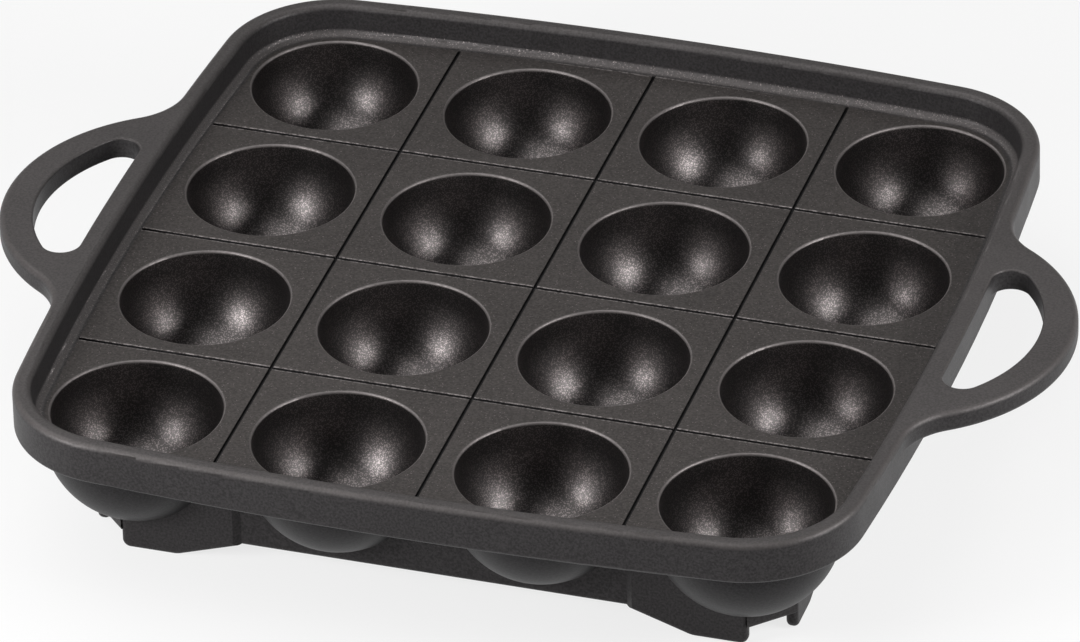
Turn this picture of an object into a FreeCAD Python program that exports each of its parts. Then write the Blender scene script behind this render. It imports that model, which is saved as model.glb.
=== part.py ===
"""Stove-top plate for takoyaki: one aluminium casting, written out as the regions that it is made of.

The frame is millimetres, +Z up, with the origin on the surface that the feet stand on, under the middle of
the plate. +X points to the right handle and +Y to the back. The regions meet face to face and share no
volume:

    cup_rowR_colC    one deck tile with its round cup, row 1 at the front and column 1 at the left
    rim_*            the raised wall round the deck, four sides and four corners
    handle_*         the two loop handles that grow out of the left and right sides
    skirt_*          the four low walls under the deck, between the feet
    foot_*           the thicker ends of those walls, which slope down to the stove
    corner_web_*     the short slanting walls that close the skirt at its corners
"""
import FreeCAD
import Part

import math
import os

from FreeCAD import Vector

# ---- Rim ----
plate_width = 209.6            # left face to right face, without the handles
plate_depth = 210.0            # front face to back face
side_bow_radius = 980.0        # each side bulges outwards by a very large arc
corner_radius = 28.0
rim_wall = 4.2                 # thickness of the rim at its top
rim_lean = 1.1                 # the inner face stands this much further in at the deck than at the top
rim_rise = 7.5                 # top of the rim above the deck
rim_edge_radius = 1.5          # rounding of the rim's upper edges and of the handles' outer edges
rim_lower_radius = 1.0         # rounding where the rim's outer face runs into the plate's underside
deck_fillet = 1.7              # hollow rounding where the deck runs into the rim
ledge_flat = 0.3               # flat strip of deck that belongs to the rim, inside the hollow rounding

# ---- Deck and cups ----
deck_height = 33.4             # top of the deck above the stove
deck_thickness = 2.9
cup_columns = 4                # cups from left to right
cup_rows = 4                   # cups from front to back
side_margin = 6.8              # from the left and right faces in to the grid of tiles
front_margin = 7.0             # from the front and back faces in to the grid of tiles
cup_land = 3.9                 # flat deck from a cup's mouth to the nearest edge of its tile
cup_lip_radius = 0.5           # rounding of the mouth's edge
cup_wall = 2.1
cup_centre_drop = 4.6          # centre of the ball shape below the top of the deck
score_width = 0.9              # score lines between the cups, across their top
score_floor_width = 0.5
score_depth = 0.6
score_end_gap = 0.1            # the lines stop this far short of the hollow rounding

# ---- Handles ----
handle_reach = 25.7            # tip of a handle beyond the plate's side
handle_outer_radius = 43.6
handle_blend_radius = 16.0     # hollow corner between a handle and the plate's side
handle_thickness = 5.6
grip_width = 8.2               # width of the loop at its tip
finger_hole_radius = 38.0      # outer side of the finger hole
finger_hole_corner = 4.7
finger_hole_gap = 0.8          # strip of handle between the finger hole and the plate's side
finger_hole_edge_radius = 0.6  # rounding of the finger hole's edges

# ---- Skirt and feet ----
skirt_wall = 2.7
skirt_below_cups = 1.9         # the skirt between the feet reaches this much lower than the cups
web_below_cups = 2.3           # and so do the corner webs
front_skirt_inset = 22.8       # from the plate's front and back faces in to the feet's outer faces there
side_skirt_inset = 19.8        # from the plate's left and right faces in to the feet's outer faces there
skirt_setback = 1.4            # the skirt between the feet lies this far behind the feet's outer faces
skirt_edge_radius = 1.2
foot_wall = 2.9
foot_lead = 2.4                # a foot begins this far before the last line between the cups
foot_step_slant = 1.6          # length along the wall of the slanting step out to the foot's outer face
foot_ramp_height = 5.2         # the slope under a foot starts this high above the stove
foot_ramp_length = 15.6        # from the foot's beginning to where its slope reaches the stove
foot_ramp_softening = 6.0      # radius between the slope and the flat underside
foot_toe_radius = 2.0          # rounding at the far end of the underside
front_foot_inset = 29.1        # far ends of the front and back feet inside the left and right faces
side_foot_inset = 32.0         # far ends of the left and right feet inside the front and back faces

# ---- Worked out from the sizes above ----
rim_top = deck_height + rim_rise
deck_underside = deck_height - deck_thickness
deck_inset = rim_wall + rim_lean
ledge_inset = deck_inset + deck_fillet + ledge_flat
column_pitch = (plate_width - 2 * side_margin) / cup_columns
row_pitch = (plate_depth - 2 * front_margin) / cup_rows
cup_mouth_radius = min(column_pitch, row_pitch) / 2 - cup_land
cup_inner_radius = cup_mouth_radius - cup_lip_radius
cup_outer_radius = cup_inner_radius + cup_wall
ball_centre_z = deck_height - cup_centre_drop
cup_underside = ball_centre_z - cup_outer_radius
handle_tip = plate_width / 2 + handle_reach
handle_centre = handle_tip - handle_outer_radius
finger_hole_centre = handle_tip - grip_width - finger_hole_radius
finger_hole_side_radius = side_bow_radius + finger_hole_gap
skirt_bottom = cup_underside - skirt_below_cups
web_bottom = cup_underside - web_below_cups
front_skirt_offset = plate_depth / 2 - front_skirt_inset
side_skirt_offset = plate_width / 2 - side_skirt_inset
front_foot_start = (cup_columns / 2 - 1) * column_pitch - foot_lead
side_foot_start = (cup_rows / 2 - 1) * row_pitch - foot_lead
front_foot_end = plate_width / 2 - front_foot_inset
side_foot_end = plate_depth / 2 - side_foot_inset
largest_rounding = 0.45        # share of a wall's thickness that the rounding of its edges may take up
past_everything = plate_width + plate_depth        # a length that reaches beyond the whole casting
same_place = 1e-4                                  # points nearer than this count as one


# ---------------------------------------------------------------- small helpers

def circles_meet(x0, y0, r0, x1, y1, r1):
    """The upper point of the two where two circles cross, or the right-hand one if they are level."""
    dx, dy = x1 - x0, y1 - y0
    apart = math.hypot(dx, dy)
    along = (apart ** 2 + r0 ** 2 - r1 ** 2) / (2 * apart)
    off = math.sqrt(r0 ** 2 - along ** 2)
    points = []
    for side in (1, -1):
        px = x0 + (along * dx - side * off * dy) / apart
        py = y0 + (along * dy + side * off * dx) / apart
        points.append((px, py))
    return max(points, key=lambda p: p[0] + p[1])


def toward(x0, y0, x1, y1, distance):
    """The point that lies a distance from the first point, on the way to the second or beyond it."""
    apart = math.hypot(x1 - x0, y1 - y0)
    return x0 + (x1 - x0) * distance / apart, y0 + (y1 - y0) * distance / apart


def arc_about(cx, cy, start, end, clockwise=False):
    """The arc from start to end about a centre, in the XY plane."""
    radius = math.hypot(start[0] - cx, start[1] - cy)
    a0 = math.atan2(start[1] - cy, start[0] - cx)
    a1 = math.atan2(end[1] - cy, end[0] - cx)
    if clockwise and a1 > a0:
        a1 -= 2 * math.pi
    if not clockwise and a1 < a0:
        a1 += 2 * math.pi
    middle = (a0 + a1) / 2
    on_arc = Vector(cx + radius * math.cos(middle), cy + radius * math.sin(middle), 0)
    return Part.Arc(Vector(start[0], start[1], 0), on_arc, Vector(end[0], end[1], 0)).toShape()


def prism(face, low, high):
    """A flat face in the XY plane, raised into a solid from one height to another."""
    solid = face.extrude(Vector(0, 0, high - low))
    solid.translate(Vector(0, 0, low))
    return solid


def block(x0, x1, y0, y1, z0, z1):
    return Part.makeBox(x1 - x0, y1 - y0, z1 - z0, Vector(x0, y0, z0))


def solid_of_revolution(edges, x, y):
    """Turns a closed profile, drawn in the XZ plane about the Z axis, into a solid at x, y."""
    face = Part.Face(Part.Wire(edges))
    solid = face.revolve(Vector(0, 0, 0), Vector(0, 0, 1), 360)
    solid.translate(Vector(x, y, 0))
    return solid


def edges_at_height(shape, height):
    """Every edge that lies level at a height."""
    def is_level(edge):
        ends = (edge.FirstParameter, (edge.FirstParameter + edge.LastParameter) / 2, edge.LastParameter)
        return all(abs(edge.valueAt(p).z - height) < same_place for p in ends)
    return [edge for edge in shape.Edges if is_level(edge)]


# ---------------------------------------------------------------- the plate's outline

def corner_centre():
    """Centre of the arc at the back right corner, which touches the bowed back and right sides."""
    reach = side_bow_radius - corner_radius
    return circles_meet(plate_width / 2 - side_bow_radius, 0, reach,
                        0, plate_depth / 2 - side_bow_radius, reach)


def contour_points(inset):
    """Ends of the back right corner's arc: on the right side, then on the back."""
    cx, cy = corner_centre()
    radius = side_bow_radius - inset
    on_right = toward(plate_width / 2 - side_bow_radius, 0, cx, cy, radius)
    on_back = toward(0, plate_depth / 2 - side_bow_radius, cx, cy, radius)
    return on_right, on_back


def plate_face(inset):
    """The plate's outline, four bowed sides and four round corners, drawn in by an inset."""
    cx, cy = corner_centre()
    right, back = contour_points(inset)
    side_x = plate_width / 2 - side_bow_radius
    back_y = plate_depth / 2 - side_bow_radius
    edges = [
        arc_about(side_x, 0, (right[0], -right[1]), right),
        arc_about(cx, cy, right, back),
        arc_about(0, back_y, back, (-back[0], back[1])),
        arc_about(-cx, cy, (-back[0], back[1]), (-right[0], right[1])),
        arc_about(-side_x, 0, (-right[0], right[1]), (-right[0], -right[1])),
        arc_about(-cx, -cy, (-right[0], -right[1]), (-back[0], -back[1])),
        arc_about(0, -back_y, (-back[0], -back[1]), (back[0], -back[1])),
        arc_about(cx, -cy, (back[0], -back[1]), (right[0], -right[1])),
    ]
    return Part.Face(Part.Wire(edges))


def handle_edges():
    """The right handle's outer edge from front root to back root, and the back root on the plate's side."""
    side_x = plate_width / 2 - side_bow_radius
    bx, by = circles_meet(side_x, 0, side_bow_radius + handle_blend_radius,
                          handle_centre, 0, handle_outer_radius + handle_blend_radius)
    on_side = toward(side_x, 0, bx, by, side_bow_radius)
    on_loop = toward(handle_centre, 0, bx, by, handle_outer_radius)
    below_side = (on_side[0], -on_side[1])
    below_loop = (on_loop[0], -on_loop[1])
    edges = [
        arc_about(bx, -by, below_side, below_loop, clockwise=True),
        arc_about(handle_centre, 0, below_loop, on_loop),
        arc_about(bx, by, on_loop, on_side, clockwise=True),
    ]
    return edges, on_side


def finger_hole_face():
    """The right handle's finger hole: its long inner side follows the plate's side."""
    side_x = plate_width / 2 - side_bow_radius
    cx, cy = circles_meet(side_x, 0, finger_hole_side_radius + finger_hole_corner,
                          finger_hole_centre, 0, finger_hole_radius - finger_hole_corner)
    on_side = toward(side_x, 0, cx, cy, finger_hole_side_radius)
    on_arc = toward(finger_hole_centre, 0, cx, cy, finger_hole_radius)
    edges = [
        arc_about(cx, -cy, (on_side[0], -on_side[1]), (on_arc[0], -on_arc[1])),
        arc_about(finger_hole_centre, 0, (on_arc[0], -on_arc[1]), on_arc),
        arc_about(cx, cy, on_arc, on_side),
        arc_about(side_x, 0, on_side, (on_side[0], -on_side[1]), clockwise=True),
    ]
    return Part.Face(Part.Wire(edges))


def mirrored_in_x(shape):
    return shape.mirror(Vector(0, 0, 0), Vector(1, 0, 0))


def outline_with_handles():
    """The whole casting seen from above: the plate's outline with both loops grown out of it."""
    cx, cy = corner_centre()
    right, back = contour_points(0)
    side_x = plate_width / 2 - side_bow_radius
    back_y = plate_depth / 2 - side_bow_radius
    loop_edges, root = handle_edges()
    right_side = [
        arc_about(side_x, 0, (right[0], -right[1]), (root[0], -root[1])),
        *loop_edges,
        arc_about(side_x, 0, root, right),
        arc_about(cx, cy, right, back),
        arc_about(cx, -cy, (back[0], -back[1]), (right[0], -right[1])),
    ]
    ends = [
        arc_about(0, back_y, back, (-back[0], back[1])),
        arc_about(0, -back_y, (-back[0], -back[1]), (back[0], -back[1])),
    ]
    left_side = [mirrored_in_x(e) for e in right_side]
    return Part.Face(Part.Wire(Part.__sortEdges__(right_side + ends + left_side)))


# ---------------------------------------------------------------- rim and handles

def rim_and_handles():
    """The rim, a strip of deck inside it and both handles as one body, with every edge rounding in place."""
    handle_underside = rim_top - handle_thickness
    upper = prism(outline_with_handles(), handle_underside, rim_top)
    upper = upper.makeFillet(rim_edge_radius, edges_at_height(upper, rim_top))
    upper = upper.makeFillet(rim_edge_radius, edges_at_height(upper, handle_underside))
    for hole in (finger_hole_face(), mirrored_in_x(finger_hole_face())):
        upper = with_finger_hole(upper, hole, handle_underside)
    lower = prism(plate_face(0), deck_underside, rim_top - rim_edge_radius)
    lower = lower.makeFillet(rim_lower_radius, edges_at_height(lower, deck_underside))

    tray = tray_hollow()
    upper = upper.cut(tray)
    upper = upper.makeFillet(rim_edge_radius, edges_on(upper, tray, rim_top))
    lower = lower.cut(tray)
    lower = lower.makeFillet(deck_fillet, edges_at_height(lower, deck_height))
    lower = lower.cut(prism(plate_face(ledge_inset), 0, rim_top))
    return upper.fuse(lower).removeSplitter()


def tray_hollow():
    """The space above the deck inside the rim, a little wider at the top than at the deck."""
    bottom = plate_face(deck_inset).OuterWire
    bottom.translate(Vector(0, 0, deck_height))
    top = plate_face(rim_wall).OuterWire
    top.translate(Vector(0, 0, rim_top))
    return Part.makeLoft([bottom, top], True, True)


def edges_on(body, tool, height):
    """The level edges at a height that a cutting tool has left on a body."""
    places = [e.valueAt((e.FirstParameter + e.LastParameter) / 2) for e in edges_at_height(tool, height)]
    return [e for e in edges_at_height(body, height) if lies_on_one(e, places)]


def with_finger_hole(body, hole, handle_underside):
    """Cuts a finger hole through a handle and rounds the edges that the hole leaves."""
    body = body.cut(prism(hole, handle_underside, rim_top))
    middles = [e.valueAt((e.FirstParameter + e.LastParameter) / 2) for e in hole.Edges]
    places = [Vector(m.x, m.y, z) for m in middles for z in (handle_underside, rim_top)]
    return body.makeFillet(finger_hole_edge_radius, [e for e in body.Edges if lies_on_one(e, places)])


def rim_regions(body):
    """The rim in four sides and four corners, and the two handles outside the plate's outline."""
    cx, cy = corner_centre()
    far = past_everything
    plate = prism(plate_face(0), deck_underside, rim_top)
    rim = body.common(plate)
    loops = body.cut(plate)
    regions = {
        "rim_front": block(-cx, cx, -far, 0, 0, far),
        "rim_back": block(-cx, cx, 0, far, 0, far),
        "rim_left": block(-far, 0, -cy, cy, 0, far),
        "rim_right": block(0, far, -cy, cy, 0, far),
        "rim_corner_front_left": block(-far, -cx, -far, -cy, 0, far),
        "rim_corner_front_right": block(cx, far, -far, -cy, 0, far),
        "rim_corner_back_left": block(-far, -cx, cy, far, 0, far),
        "rim_corner_back_right": block(cx, far, cy, far, 0, far),
    }
    parts = {name: rim.common(region) for name, region in regions.items()}
    parts["handle_left"] = loops.common(block(-far, 0, -far, far, 0, far))
    parts["handle_right"] = loops.common(block(0, far, -far, far, 0, far))
    return parts


# ---------------------------------------------------------------- deck and cups

def grid_places(count, pitch):
    """Centres of a row of cups, from the lowest to the highest coordinate."""
    return [(k - (count - 1) / 2) * pitch for k in range(count)]


def cup_centres():
    """The centre of every cup, as X and Y."""
    return [(x, y) for x in grid_places(cup_columns, column_pitch)
            for y in grid_places(cup_rows, row_pitch)]


def grid_lines(count, pitch):
    """Where the lines between the cups lie, from the lowest to the highest coordinate."""
    return [(k - count / 2) * pitch for k in range(1, count)]


def xz_line(start, end):
    return Part.LineSegment(Vector(start[0], 0, start[1]), Vector(end[0], 0, end[1])).toShape()


def xz_arc(centre_x, centre_z, radius, from_angle, to_angle):
    """An arc in the XZ plane, by its angles from +X towards +Z."""
    def at(angle):
        return Vector(centre_x + radius * math.cos(angle), 0, centre_z + radius * math.sin(angle))
    return Part.Arc(at(from_angle), at((from_angle + to_angle) / 2), at(to_angle)).toShape()


def cup_body(x, y):
    """A cup filled in: the lower half of its outer ball shape, carried straight up to the deck's top."""
    return solid_of_revolution([
        xz_arc(0, ball_centre_z, cup_outer_radius, -math.pi / 2, 0),
        xz_line((cup_outer_radius, ball_centre_z), (cup_outer_radius, deck_height)),
        xz_line((cup_outer_radius, deck_height), (0, deck_height)),
        xz_line((0, deck_height), (0, cup_underside)),
    ], x, y)


def cup_hollow(x, y):
    """The space in a cup: half a ball, straight sides above it, and the rounding of the mouth's edge."""
    lip_z = deck_height - cup_lip_radius
    return solid_of_revolution([
        xz_arc(0, ball_centre_z, cup_inner_radius, -math.pi / 2, 0),
        xz_line((cup_inner_radius, ball_centre_z), (cup_inner_radius, lip_z)),
        xz_arc(cup_mouth_radius, lip_z, cup_lip_radius, math.pi, math.pi / 2),
        xz_line((cup_mouth_radius, deck_height), (cup_mouth_radius, rim_top)),
        xz_line((cup_mouth_radius, rim_top), (0, rim_top)),
        xz_line((0, rim_top), (0, ball_centre_z - cup_inner_radius)),
    ], x, y)


def side_sag(distance):
    """How far a bowed side has curved back at a distance along it from its middle."""
    return side_bow_radius - math.sqrt(side_bow_radius ** 2 - distance ** 2)


def score_cutter(start, end):
    """A cutter along a straight line on the deck: a steep-sided trough, with upright sides above it."""
    along = Vector(end[0] - start[0], end[1] - start[1], 0)
    across = Vector(-along.y, along.x, 0).normalize()
    middle = Vector(start[0], start[1], 0)
    half_outline = [(score_floor_width / 2, deck_height - score_depth), (score_width / 2, deck_height),
                    (score_width / 2, rim_top)]
    corners = [middle + across * half + Vector(0, 0, z) for half, z in half_outline]
    corners += [middle - across * half + Vector(0, 0, z) for half, z in reversed(half_outline)]
    return Part.Face(Part.makePolygon(corners + corners[:1])).extrude(along)


def score_cutters():
    """Cutters for the lines between the columns and between the rows, up to the rim's hollow rounding."""
    end_inset = deck_inset + deck_fillet + score_end_gap
    cutters = []
    for x in grid_lines(cup_columns, column_pitch):
        end = plate_depth / 2 - end_inset - side_sag(x)
        cutters.append(score_cutter((x, -end), (x, end)))
    for y in grid_lines(cup_rows, row_pitch):
        end = plate_width / 2 - end_inset - side_sag(y)
        cutters.append(score_cutter((-end, y), (end, y)))
    return cutters


def tile_bounds(lines, index):
    """A tile's two edges along one direction: the lines beside it, or out past the plate at a row's end."""
    bounds = [-past_everything, *lines, past_everything]
    return bounds[index], bounds[index + 1]


def cup_tiles(cutters):
    """The deck in tiles, each with its own cup; the outer tiles run out to the rim's strip of deck."""
    deck = prism(plate_face(ledge_inset), deck_underside, deck_height)
    far = past_everything
    beside_deck = block(-far, far, -far, far, deck_underside, rim_top).cut(deck)
    parts = {}
    for row, y in enumerate(grid_places(cup_rows, row_pitch)):
        for column, x in enumerate(grid_places(cup_columns, column_pitch)):
            x0, x1 = tile_bounds(grid_lines(cup_columns, column_pitch), column)
            y0, y1 = tile_bounds(grid_lines(cup_rows, row_pitch), row)
            tile = deck.common(block(x0, x1, y0, y1, deck_underside, deck_height))
            tile = tile.fuse(cup_body(x, y)).removeSplitter()
            tile = tile.cut([cup_hollow(x, y), beside_deck] + cutters)
            parts[f"cup_row{row + 1}_col{column + 1}"] = tile
    return parts


# ---------------------------------------------------------------- skirt and feet

def wall_solid(bottom_edges, start_x, end_x, offset, thickness):
    """A wall that faces the front, from start_x to end_x, hanging from the deck down to its bottom edges.

    Its outer face is at Y = -offset, and both long edges of its underside are rounded.
    """
    first = bottom_edges[0].valueAt(bottom_edges[0].FirstParameter)
    last = bottom_edges[-1].valueAt(bottom_edges[-1].LastParameter)
    outline = list(bottom_edges) + [
        xz_line((end_x, last.z), (end_x, deck_underside)),
        xz_line((end_x, deck_underside), (start_x, deck_underside)),
        xz_line((start_x, deck_underside), (start_x, first.z)),
    ]
    face = Part.Face(Part.Wire(outline))
    face.translate(Vector(0, -offset, 0))
    solid = face.extrude(Vector(0, thickness, 0))
    middles = [e.valueAt((e.FirstParameter + e.LastParameter) / 2) for e in bottom_edges]
    long_edges = []
    for y in (-offset, -offset + thickness):
        places = [Vector(m.x, y, m.z) for m in middles]
        long_edges += [e for e in solid.Edges if lies_on_one(e, places)]
    return solid.makeFillet(min(skirt_edge_radius, largest_rounding * thickness), long_edges)


def lies_on_one(edge, places):
    """Whether the middle of an edge is one of the places."""
    middle = edge.valueAt((edge.FirstParameter + edge.LastParameter) / 2)
    return any(middle.distanceToPoint(place) < same_place for place in places)


def foot_underside(start, end):
    """A foot's lower outline: down the slope, along the stove, and up a little at the toe."""
    slope = math.atan2(foot_ramp_height, foot_ramp_length)
    turn = foot_ramp_softening * math.tan(slope / 2)
    ramp_end = start + foot_ramp_length
    on_slope = (ramp_end - turn * math.cos(slope), turn * math.sin(slope))
    toe_x = end - foot_toe_radius
    return [
        xz_line((start, foot_ramp_height), on_slope),
        xz_arc(ramp_end + turn, foot_ramp_softening, foot_ramp_softening, -math.pi / 2 - slope, -math.pi / 2),
        xz_line((ramp_end + turn, 0), (toe_x, 0)),
        xz_arc(toe_x, foot_toe_radius, foot_toe_radius, -math.pi / 2, 0),
    ]


def right_foot(offset, start, end):
    """The foot at the right-hand end of a wall that faces the front, with its inner end cut to a slant."""
    foot = wall_solid(foot_underside(start, end), start, end, offset, foot_wall)
    corners = [Vector(start, -offset, 0), Vector(start + foot_step_slant, -offset, 0),
               Vector(start, skirt_setback - offset, 0)]
    return foot.cut(prism(Part.Face(Part.makePolygon(corners + corners[:1])), 0, deck_height))


def middle_skirt(offset, end):
    """The lower, thinner wall between two feet, set back behind their outer faces."""
    bottom = [xz_line((-end, skirt_bottom), (end, skirt_bottom))]
    return wall_solid(bottom, -end, end, offset - skirt_setback, skirt_wall)


def corner_web():
    """The slanting wall at the front right corner, from the front foot's end to the right foot's end."""
    front_x, front_y = front_foot_end, -front_skirt_offset
    side_x, side_y = side_skirt_offset, -side_foot_end
    length = math.hypot(side_x - front_x, side_y - front_y)
    inward_y = skirt_wall * length / (side_x - front_x)
    inward_x = skirt_wall * length / (side_y - front_y)
    corners = [(front_x, front_y), (side_x, side_y),
               (side_x - inward_x, side_y), (front_x, front_y + inward_y)]
    outline = Part.makePolygon([Vector(x, y, 0) for x, y in corners + corners[:1]])
    web = prism(Part.Face(outline), web_bottom, deck_underside)
    slanting = [e for e in edges_at_height(web, web_bottom) if e.BoundBox.XLength > same_place
                and e.BoundBox.YLength > same_place]
    return web.makeFillet(min(skirt_edge_radius, largest_rounding * skirt_wall), slanting)


def turned(shape, degrees):
    return shape.rotated(Vector(0, 0, 0), Vector(0, 0, 1), degrees)


def mirrored_in_y(shape):
    return shape.mirror(Vector(0, 0, 0), Vector(0, 1, 0))


def skirt_parts():
    """The skirt's walls, feet and corner webs, before the cups are let into them."""
    front_foot = right_foot(front_skirt_offset, front_foot_start, front_foot_end)
    front_wall = middle_skirt(front_skirt_offset, front_foot_start)
    right_back_foot = turned(right_foot(side_skirt_offset, side_foot_start, side_foot_end), 90)
    right_wall = turned(middle_skirt(side_skirt_offset, side_foot_start), 90)
    web = corner_web()
    quarter = {"foot_front_right": front_foot, "foot_right_front": mirrored_in_y(right_back_foot),
               "corner_web_front_right": web}
    parts = {"skirt_front": front_wall, "skirt_back": mirrored_in_y(front_wall),
             "skirt_right": right_wall, "skirt_left": mirrored_in_x(right_wall)}
    for name, shape in quarter.items():
        parts[name] = shape
        parts[name.replace("right", "left")] = mirrored_in_x(shape)
        parts[name.replace("front", "back")] = mirrored_in_y(shape)
        parts[name.replace("right", "left").replace("front", "back")] = mirrored_in_y(mirrored_in_x(shape))
    return parts


def skirt_around_cups():
    """The skirt with every cup that passes through it let in, so that cup and wall meet face to face."""
    cups = [cup_body(x, y) for x, y in cup_centres()]
    parts = {}
    for name, wall in skirt_parts().items():
        near = [cup for cup in cups if cup.BoundBox.intersect(wall.BoundBox)]
        parts[name] = wall.cut(near) if near else wall
    return parts


# ---------------------------------------------------------------- the whole casting

def casting():
    """Every region of the casting by its name."""
    cutters = score_cutters()
    parts = cup_tiles(cutters)
    hollows = [cup_hollow(x, y) for x, y in cup_centres()]
    for name, shape in rim_regions(rim_and_handles()).items():
        parts[name] = shape.cut(cutters + hollows)
    parts.update(skirt_around_cups())
    return parts


os.makedirs("parts", exist_ok=True)
for node, shape in casting().items():
    shape.exportStep(f"parts/{node}.step")
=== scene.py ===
"""Looks of the takoyaki plate: cast aluminium under a sprayed charcoal coating, on a pale studio floor.

Lengths are metres. The plate's own solids carry all the shapes; this script gives them their finishes
and sets up the studio.
"""

import math

import bpy
from mathutils import Matrix, Vector


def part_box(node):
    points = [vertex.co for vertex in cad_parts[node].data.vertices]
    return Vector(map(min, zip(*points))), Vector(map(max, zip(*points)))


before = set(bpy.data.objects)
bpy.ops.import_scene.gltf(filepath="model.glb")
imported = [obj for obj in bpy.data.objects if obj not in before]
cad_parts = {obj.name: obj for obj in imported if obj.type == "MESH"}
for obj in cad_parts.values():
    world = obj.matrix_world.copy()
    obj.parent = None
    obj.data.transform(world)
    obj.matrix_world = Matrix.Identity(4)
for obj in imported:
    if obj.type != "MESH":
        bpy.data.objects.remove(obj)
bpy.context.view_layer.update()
bpy.ops.object.select_all(action="DESELECT")

# ---- Where things are on the plate ----
deck_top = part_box("cup_row2_col2")[1].z
bowl_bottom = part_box("cup_row2_col2")[0].z
rim_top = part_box("rim_front")[1].z
foot_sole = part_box("foot_front_left")[0].z
cup_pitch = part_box("cup_row2_col3")[1].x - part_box("cup_row2_col2")[1].x
bowl_radius = 0.0222          # outside of a cup's ball shape
bowl_wall = 0.0021
bowl_centre = bowl_bottom + bowl_radius
cup_inside = bowl_radius - bowl_wall
cup_lip = 0.0005              # radius of the rounded lip
score_half = 0.00045          # half the width of a score line
score_start = 0.00008         # what lies this far below the deck's top is in a score line
score_end = 0.0012            # every score line is shallower than this
bowl_start = 0.0003           # a cup's own colour starts at this depth
bowl_full = 0.0009            # and is complete at this one
underside_start = 0.0015      # what lies deeper than this, outside the cups' hollows, is underside
deck_hollow = 0.0017          # height of the hollow rounding where the deck runs into the rim

# ---- Camera ----
camera_azimuth = -71.975      # degrees from +X towards +Y, of the camera as seen from the plate
camera_elevation = 33.027
camera_roll = -1.476
camera_distance = 2.54164
camera_reach = 50.0           # the camera sees no further than this
camera_lens = 362.36          # millimetres
camera_sensor = 36.0          # width, in millimetres
aim = Vector((0.00548, -0.01341, deck_top))

# ---- Studio ----
floor_size = 30.0
floor_gap = 0.00005           # the feet stand this much clear of the floor, so that no faces coincide
floor_colour = (0.76, 0.76, 0.76, 1.0)
floor_colour_soft = (0.79, 0.79, 0.79, 1.0)
floor_patch = 0.4             # size of the floor's soft patches
floor_white = 0.97
floor_glow = 0.80             # share of the floor's own white where it is seen or mirrored
wall_low = 6                  # degrees above the floor where the room's white walls start to fade
wall_high = 24                # and where the dim ceiling takes over
wall_level = 0.35
sky_level = 0.05

# ---- Colours of the coating, and of its reflections (gloss) ----
charcoal = (0.0120, 0.0107, 0.0101, 1.0)
charcoal_pale = (0.0290, 0.0260, 0.0246, 1.0)
outer_charcoal = (0.0140, 0.0131, 0.0135, 1.0)
outer_charcoal_pale = (0.0210, 0.0197, 0.0203, 1.0)
# painted light: paler charcoal for faces that look up, as if lit from above
painted_lit_top_charcoal = (0.0230, 0.0213, 0.0211, 1.0)
painted_lit_top_charcoal_pale = (0.0480, 0.0444, 0.0441, 1.0)
# painted shade: a darker colour for the cups' undersides
under_painted_shade_charcoal = (0.0060, 0.0057, 0.0060, 1.0)
# the cups' own near black, also painted into the score lines as painted shade
cup_black_and_painted_groove_shade = (0.0024, 0.0024, 0.0024, 1.0)
flake_grey = (0.20, 0.178, 0.176, 1.0)
# painted highlights: paler greys for rounded edges, the band at the deck's foot, the cups' lips and the
# score lines' brinks
painted_highlight_grey = (0.11, 0.101, 0.099, 1.0)
painted_highlight_pale = (0.20, 0.183, 0.180, 1.0)
cup_gloss = (1.0, 0.92, 0.91, 1.0)
deck_gloss = (0.42, 0.378, 0.362, 1.0)
deck_gloss_pale = (0.68, 0.612, 0.588, 1.0)
outer_gloss = (0.50, 0.472, 0.480, 1.0)
outer_gloss_pale = (1.0, 0.95, 0.96, 1.0)
# painted shade: dimmer reflections underneath and in the score lines
under_painted_shade_gloss = (0.11, 0.104, 0.109, 1.0)
under_painted_shade_gloss_pale = (0.24, 0.228, 0.238, 1.0)

# ---- Texture of the coating ----
lump_size = 0.0006            # the fine lumps that vary its colour
grain_size = 0.00050          # the orange peel of the sprayed surface
deck_grain = 0.000025         # heights of that orange peel
rim_grain = 0.000030
under_grain = 0.000040
score_rounding = 0.00014      # how far the deck dips towards the left-to-right score lines
flake_size = 0.00022
flake_tilt = 0.04
deck_flakes = 0.015           # shares of the surface that are bright flakes
cup_flakes = 0.27
# bright flakes in the band at the deck's foot, part of its painted highlight
hollow_painted_highlight_flakes = 0.08
deck_roughness = (0.51, 0.55)
cup_roughness = 0.350
under_roughness = 0.5


# ---------------------------------------------------------------- node helpers

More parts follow.
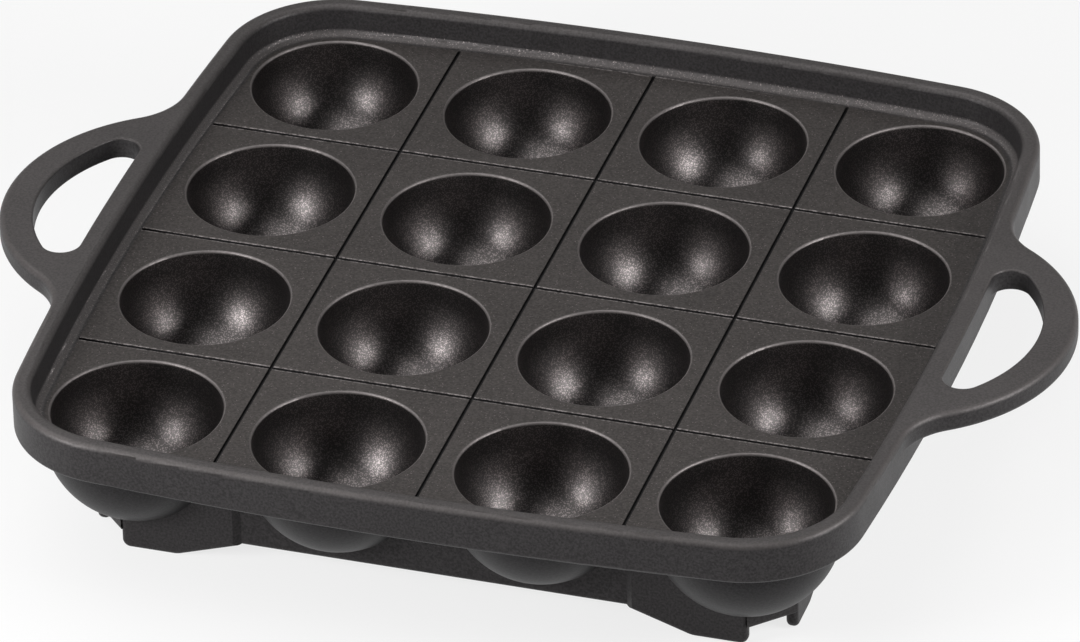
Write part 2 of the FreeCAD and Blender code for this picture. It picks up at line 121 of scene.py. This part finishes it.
class Recipe:
    """A material's nodes, each added in one short call."""

    def __init__(self, name):
        self.material = bpy.data.materials.new(name)
        self.material.use_nodes = True
        self.tree = self.material.node_tree
        self.tree.nodes.clear()
        self.place = self.add("ShaderNodeTexCoord").outputs["Object"]

    def connect(self, value, socket):
        """Feeds a socket from another node's output, or sets it to a value."""
        if isinstance(value, bpy.types.NodeSocket):
            self.tree.links.new(value, socket)
        else:
            socket.default_value = value

    def add(self, kind, inputs=None, **settings):
        """Adds a node, with its settings and what feeds its inputs."""
        node = self.tree.nodes.new(kind)
        for key, value in settings.items():
            setattr(node, key, value)
        for key, value in (inputs or {}).items():
            self.connect(value, node.inputs[key])
        return node

    def noise(self, size, detail=2.0, roughness=0.5):
        """Soft noise whose lumps are about as large as size."""
        settings = {"Vector": self.place, "Scale": 1 / size, "Detail": detail, "Roughness": roughness}
        return self.add("ShaderNodeTexNoise", settings).outputs["Fac"]

    def spread(self, value, low, high, to_low=0.0, to_high=1.0):
        """Maps the range from low to high onto another range."""
        inputs = {"Value": value, "From Min": low, "From Max": high, "To Min": to_low, "To Max": to_high}
        return self.add("ShaderNodeMapRange", inputs).outputs["Result"]

    def maths(self, operation, a, b=0.0):
        return self.add("ShaderNodeMath", {0: a, 1: b}, operation=operation).outputs[0]

    def times(self, first, *others):
        """Numbers multiplied together."""
        product = first
        for other in others:
            product = self.maths("MULTIPLY", product, other)
        return product

    def vector_maths(self, operation, inputs, output="Vector"):
        return self.add("ShaderNodeVectorMath", inputs, operation=operation).outputs[output]

    def split(self, vector):
        """The X, Y and Z of a vector."""
        return self.add("ShaderNodeSeparateXYZ", {"Vector": vector}).outputs

    def blend(self, share, a, b):
        """A colour between two colours."""
        node = self.add("ShaderNodeMix", data_type="RGBA")
        self.connect(share, node.inputs[0])
        self.connect(a, node.inputs[6])
        self.connect(b, node.inputs[7])
        return node.outputs[2]

    def between(self, share, a, b):
        """A number between two numbers."""
        node = self.add("ShaderNodeMix", data_type="FLOAT")
        self.connect(share, node.inputs[0])
        self.connect(a, node.inputs[2])
        self.connect(b, node.inputs[3])
        return node.outputs[0]

    def bump(self, height, depth, below=None):
        """The surface's direction with relief on it, over another relief if one is given."""
        inputs = {"Height": height, "Distance": depth, "Strength": 1.0}
        if below is not None:
            inputs["Normal"] = below
        return self.add("ShaderNodeBump", inputs).outputs["Normal"]

    def flakes(self, share):
        """1 in a share of small cells, the bright flakes, and 0 in the rest, with each cell's own tilt."""
        inputs = {"Vector": self.place, "Scale": 1 / flake_size}
        cells = self.add("ShaderNodeTexVoronoi", inputs).outputs["Color"]
        pick = self.add("ShaderNodeSeparateColor", {"Color": cells}).outputs[0]
        tilt = self.vector_maths("SUBTRACT", {0: cells, 1: (0.5, 0.5, 0.5)})
        return self.maths("GREATER_THAN", pick, self.maths("SUBTRACT", 1.0, share)), tilt

    def tip(self, normal, tilt):
        """Tips the surface over by each flake's own tilt."""
        small = self.vector_maths("SCALE", {0: tilt, "Scale": flake_tilt})
        tipped = self.vector_maths("ADD", {0: normal, 1: small})
        return self.vector_maths("NORMALIZE", {0: tipped})

    def seen(self):
        """1 where a ray comes from the camera, a gloss or a clear surface."""
        ray = self.add("ShaderNodeLightPath").outputs
        either = self.maths("MAXIMUM", ray["Is Camera Ray"], ray["Is Glossy Ray"])
        return self.maths("MAXIMUM", either, ray["Is Transmission Ray"])

    def finish(self, shader):
        self.add("ShaderNodeOutputMaterial", {"Surface": shader.outputs[0]})
        return self.material


# ---------------------------------------------------------------- finishes

def from_line(mix, along):
    """Distance of a place from the nearest score line that crosses an axis."""
    return mix.maths("PINGPONG", along, cup_pitch / 2)


def cup_masks(mix):
    """Where a place is, each from 0 to 1: in a cup, on its lip, underneath, in a score line (painted
    shade), beside one (a painted highlight).
    """
    x, y, z = mix.split(mix.place)
    near_column = from_line(mix, x)
    near_row = from_line(mix, y)
    dx = mix.maths("SUBTRACT", cup_pitch / 2, near_column)
    dy = mix.maths("SUBTRACT", cup_pitch / 2, near_row)

    # In a cup: within the middle of its wall, which is a ball below and a pipe above.
    dz = mix.maths("MINIMUM", mix.maths("SUBTRACT", z, bowl_centre), 0.0)
    offset = mix.add("ShaderNodeCombineXYZ", {0: dx, 1: dy, 2: dz}).outputs[0]
    reach = mix.vector_maths("LENGTH", {0: offset}, "Value")
    within = mix.maths("LESS_THAN", reach, cup_inside + bowl_wall / 2)
    inside = mix.times(within, mix.spread(z, deck_top - bowl_full, deck_top - bowl_start, 1.0, 0.0))
    outside = mix.maths("SUBTRACT", 1.0, within)
    under = mix.times(outside, mix.maths("LESS_THAN", z, deck_top - underside_start))

    # On the lip: the upper part of its rounding, where a painted highlight goes.
    level = mix.add("ShaderNodeCombineXYZ", {0: dx, 1: dy}).outputs[0]
    radius = mix.vector_maths("LENGTH", {0: level}, "Value")
    ring = mix.spread(radius, cup_inside + cup_lip * 0.5, cup_inside + cup_lip, 1.0, 0.0)
    lip = mix.times(ring, mix.spread(z, deck_top - cup_lip * 1.4, deck_top - cup_lip))

    # In a score line, for painted shade, and on the deck beside a left-to-right one, for a painted
    # highlight.
    sunk = mix.times(mix.maths("LESS_THAN", z, deck_top - score_start),
                     mix.maths("GREATER_THAN", z, deck_top - score_end))
    nearest = mix.maths("MINIMUM", near_row, near_column)
    groove_painted_shade = mix.times(sunk, mix.spread(nearest, score_half + 0.0001, score_half + 0.0002, 1.0, 0.0))
    painted_brink_mask = mix.times(mix.maths("GREATER_THAN", z, deck_top - score_start),
                      mix.spread(near_row, score_half + 0.0002, score_half + 0.0005, 1.0, 0.0))
    return {
        "inside": inside, "lip": lip, "under": under,
        "groove_painted_shade": groove_painted_shade, "painted_brink_mask": painted_brink_mask, "near_row": near_row,
    }


def outside_masks(mix):
    """How far a place faces up, and from 0 to 1 where the painted highlights go: in the rounding at the
    deck's foot and on the rounded edges.
    """
    normal = mix.add("ShaderNodeNewGeometry").outputs["Normal"]
    rise = mix.split(normal)[2]
    flat = mix.vector_maths("MULTIPLY", {0: mix.place, 1: (1, 1, 0)})
    outwards = mix.vector_maths("NORMALIZE", {0: flat})
    lean = mix.vector_maths("DOT_PRODUCT", {0: normal, 1: outwards}, "Value")
    height = mix.split(mix.place)[2]

    # Painted highlight in the rounding at the deck's foot, on faces that lean inwards.
    low = mix.spread(height, deck_top + deck_hollow, deck_top + deck_hollow - 0.0006)
    painted_hollow_highlight = mix.times(mix.spread(lean, -0.05, -0.20), low)

    # Painted highlights on rounded edges, which are neither level nor upright. The rim's top gets them too,
    # and inner edges get less.
    crest = mix.spread(height, rim_top - 0.0010, rim_top - 0.0002, 0.0, 0.6)
    painted_edge_highlight = mix.times(
        mix.spread(rise, 0.10, 0.75),
        mix.spread(rise, 1.0, 0.90, crest, 1.0),
        mix.spread(lean, -0.1, 0.2, 0.6, 1.0),
        mix.spread(height, deck_top + 0.0015, deck_top + 0.0025, 0.6, 1.0),
        mix.spread(mix.noise(0.0150, 4.0, 0.6), 0.30, 0.60, 0.75, 1.0),
    )
    return rise, painted_hollow_highlight, painted_edge_highlight


def coat_shade(mix, patch_size):
    """The coating's fine lumps, and how pale it is with broader patches added to them."""
    patches = mix.spread(mix.noise(patch_size, 3.0), 0.35, 0.65)
    lumps = mix.spread(mix.noise(lump_size, 3.0, 0.6), 0.38, 0.62)
    return lumps, mix.maths("ADD", mix.times(patches, 0.35), mix.times(lumps, 0.65))


def cooking_coating():
    """The cooking side: satin on the deck, blacker and full of flakes in the cups, with painted highlights
    on the cups' lips and beside score lines, and painted shade in score lines and underneath.
    """
    mix = Recipe("cooking_coating")
    places = cup_masks(mix)
    inside, under, groove_painted_shade = places["inside"], places["under"], places["groove_painted_shade"]
    # Painted shade: the score lines and the underside get no flakes and a dimmer reflection.
    painted_shade = mix.maths("MAXIMUM", under, groove_painted_shade)

    lumps, shade = coat_shade(mix, 0.030)
    colour = mix.blend(shade, charcoal, charcoal_pale)
    # The cups' own near black inside them, and the same black as painted shade in the score lines.
    colour = mix.blend(mix.maths("MAXIMUM", groove_painted_shade, inside), colour, cup_black_and_painted_groove_shade)
    # Painted shade underneath: a darker colour.
    colour = mix.blend(under, colour, under_painted_shade_charcoal)
    flake, tilt = mix.flakes(mix.between(painted_shade, mix.between(inside, deck_flakes, cup_flakes), 0.0))
    colour = mix.blend(flake, colour, flake_grey)
    # Painted highlight on the cups' lips: a paler, metallic grey, in patches.
    lip_painted_highlight = mix.times(places["lip"], mix.spread(mix.noise(0.0015, 3.0, 0.7), 0.30, 0.60, 0.6, 1.0))
    colour = mix.blend(lip_painted_highlight, colour, painted_highlight_pale)
    # Painted highlight beside the left-to-right score lines: a speckled paler grey.
    painted_brink_highlight = mix.times(places["painted_brink_mask"], mix.spread(mix.noise(0.0008, 3.0, 0.7), 0.42, 0.60))
    colour = mix.blend(painted_brink_highlight, colour, painted_highlight_pale)
    metal = mix.maths("MAXIMUM", flake, mix.times(lip_painted_highlight, 0.9))

    roughness = mix.spread(mix.noise(0.012, 4.0, 0.6), 0.3, 0.7, *deck_roughness)
    roughness = mix.between(inside, roughness, cup_roughness)
    roughness = mix.between(under, roughness, under_roughness)
    grain = mix.bump(mix.noise(grain_size, 3.0, 0.65), deck_grain)
    beside_row = mix.spread(places["near_row"], score_half, score_half + 0.0003)
    relief = mix.bump(beside_row, score_rounding, mix.tip(grain, tilt))
    gloss = mix.blend(inside, mix.blend(lumps, deck_gloss, deck_gloss_pale), cup_gloss)
    # Painted shade underneath and in the score lines: a dimmer reflection.
    gloss = mix.blend(painted_shade, gloss, mix.blend(lumps, under_painted_shade_gloss, under_painted_shade_gloss_pale))
    shader = mix.add("ShaderNodeBsdfPrincipled", {
        "Base Color": colour, "Metallic": metal, "Roughness": roughness, "Normal": relief,
        "Specular Tint": gloss,
    })
    shader.inputs["Specular IOR Level"].default_value = 1.0
    return mix.finish(shader)


def outer_coating(name, middle_roughness, gloss_level, grain_depth):
    """The coating off the cooking side: matt charcoal, with painted light on tops and edges and a flaked
    painted highlight next to the deck.
    """
    mix = Recipe(name)
    rise, painted_hollow_highlight, painted_edge_highlight = outside_masks(mix)

    lumps, shade = coat_shade(mix, 0.025)
    colour = mix.blend(shade, outer_charcoal, outer_charcoal_pale)
    # Painted light: faces that look up get the paler top colour.
    painted_lit_top_colour = mix.blend(shade, painted_lit_top_charcoal, painted_lit_top_charcoal_pale)
    colour = mix.blend(mix.spread(rise, 0.3, 0.9), colour, painted_lit_top_colour)
    # Painted highlight at the deck's foot: a paler grey and some bright flakes.
    colour = mix.blend(mix.times(painted_hollow_highlight, 0.35), colour, painted_highlight_grey)
    flake, tilt = mix.flakes(mix.between(painted_hollow_highlight, 0.0, hollow_painted_highlight_flakes))
    colour = mix.blend(flake, colour, flake_grey)
    # Painted highlights on rounded edges: a paler, slightly metallic grey.
    colour = mix.blend(mix.times(painted_edge_highlight, 0.6), colour, painted_highlight_grey)
    metal = mix.maths("MAXIMUM", flake, mix.times(painted_edge_highlight, 0.3))

    worn = mix.noise(0.010, 4.0, 0.6)
    roughness = mix.spread(worn, 0.3, 0.7, middle_roughness - 0.03, middle_roughness + 0.03)
    grain = mix.bump(mix.noise(grain_size, 3.0, 0.65), grain_depth)
    shader = mix.add("ShaderNodeBsdfPrincipled", {
        "Base Color": colour, "Metallic": metal, "Roughness": roughness, "Normal": mix.tip(grain, tilt),
        "Specular Tint": mix.blend(lumps, outer_gloss, outer_gloss_pale),
    })
    shader.inputs["Specular IOR Level"].default_value = gloss_level
    return mix.finish(shader)


def dress_casting():
    """Gives every region of the casting its finish in place of the plain one it came with."""
    underside = outer_coating("underside_coating", 0.50, 0.30, under_grain)
    rim = outer_coating("rim_coating", 0.46, 0.35, rim_grain)
    finishes = {"cup_": cooking_coating(), "rim_": rim, "handle_": rim}
    for name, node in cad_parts.items():
        finish = next((finishes[start] for start in finishes if name.startswith(start)), underside)
        for slot in node.material_slots:
            slot.material = finish


# ---------------------------------------------------------------- studio

def studio_floor():
    """A wide pale floor that keeps the plate's shadow."""
    bpy.ops.mesh.primitive_plane_add(size=floor_size, location=(0, 0, foot_sole - floor_gap))
    plane = bpy.context.object
    plane.name = "studio_floor"
    bpy.ops.object.transform_apply(location=True, rotation=True, scale=True)
    mix = Recipe("pale_floor")
    tint = mix.blend(mix.spread(mix.noise(floor_patch), 0.3, 0.7), floor_colour, floor_colour_soft)
    matte = mix.add("ShaderNodeBsdfDiffuse", {"Color": tint})
    white = mix.add("ShaderNodeEmission", {"Strength": floor_white})
    share = mix.times(mix.seen(), floor_glow)
    both = mix.add("ShaderNodeMixShader", {0: share, 1: matte.outputs[0], 2: white.outputs[0]})
    plane.data.materials.append(mix.finish(both))


def studio_world():
    """A room with white walls that fade to a dim ceiling."""
    world = bpy.data.worlds.new("studio")
    bpy.context.scene.world = world
    world.use_nodes = True
    nodes, link = world.node_tree.nodes, world.node_tree.links.new
    nodes.clear()
    place = nodes.new("ShaderNodeTexCoord")
    split = nodes.new("ShaderNodeSeparateXYZ")
    link(place.outputs["Generated"], split.inputs[0])
    fade = nodes.new("ShaderNodeMapRange")
    fade.interpolation_type = "SMOOTHSTEP"
    fade.inputs["From Min"].default_value = math.sin(math.radians(wall_low))
    fade.inputs["From Max"].default_value = math.sin(math.radians(wall_high))
    fade.inputs["To Min"].default_value = wall_level
    fade.inputs["To Max"].default_value = sky_level
    link(split.outputs[2], fade.inputs["Value"])
    room = nodes.new("ShaderNodeBackground")
    link(fade.outputs["Result"], room.inputs["Color"])
    output = nodes.new("ShaderNodeOutputWorld")
    link(room.outputs[0], output.inputs["Surface"])


def direction(azimuth, elevation):
    """A unit vector towards a direction given in degrees."""
    a, e = math.radians(azimuth), math.radians(elevation)
    return Vector((math.cos(a) * math.cos(e), math.sin(a) * math.cos(e), math.sin(e)))


def soft_lamp(name, azimuth, elevation, distance, width, height, power):
    """A rectangular softbox that faces the plate from a direction given in degrees."""
    offset = direction(azimuth, elevation)
    light = bpy.data.lights.new(name, "AREA")
    light.shape = "RECTANGLE"
    light.size = width
    light.size_y = height
    light.energy = power
    lamp = bpy.data.objects.new(name, light)
    bpy.context.scene.collection.objects.link(lamp)
    lamp.location = Vector((0, 0, deck_top)) + offset * distance
    lamp.rotation_euler = (-offset).to_track_quat("-Z", "Y").to_euler()


def studio_lamps():
    """Two low boxes for the two highlights in each cup, a wide one overhead and one behind."""
    soft_lamp("right_box", azimuth=-6, elevation=23, distance=0.55, width=0.24, height=0.22, power=2.6)
    soft_lamp("left_box", azimuth=-132, elevation=20.5, distance=0.55, width=0.18, height=0.20, power=2.5)
    soft_lamp("overhead_box", azimuth=-165, elevation=70, distance=1.1, width=1.4, height=1.0, power=7.5)
    soft_lamp("back_box", azimuth=126, elevation=52, distance=0.75, width=0.75, height=0.55, power=1.15)


def studio_camera():
    """The camera, which looks down at the plate's front from a little to the right."""
    offset = direction(camera_azimuth, camera_elevation)
    data = bpy.data.cameras.new("camera")
    data.sensor_width = camera_sensor
    data.lens = camera_lens
    data.clip_end = camera_reach
    camera = bpy.data.objects.new("camera", data)
    bpy.context.scene.collection.objects.link(camera)
    facing = (-offset).to_track_quat("-Z", "Y").to_matrix().to_4x4()
    roll = Matrix.Rotation(math.radians(camera_roll), 4, "Z")
    camera.matrix_world = Matrix.Translation(aim + offset * camera_distance) @ facing @ roll
    bpy.context.scene.camera = camera


# ---------------------------------------------------------------- the whole scene

dress_casting()
studio_floor()
studio_world()
studio_lamps()
studio_camera()
bpy.context.scene.view_settings.view_transform = "Standard"
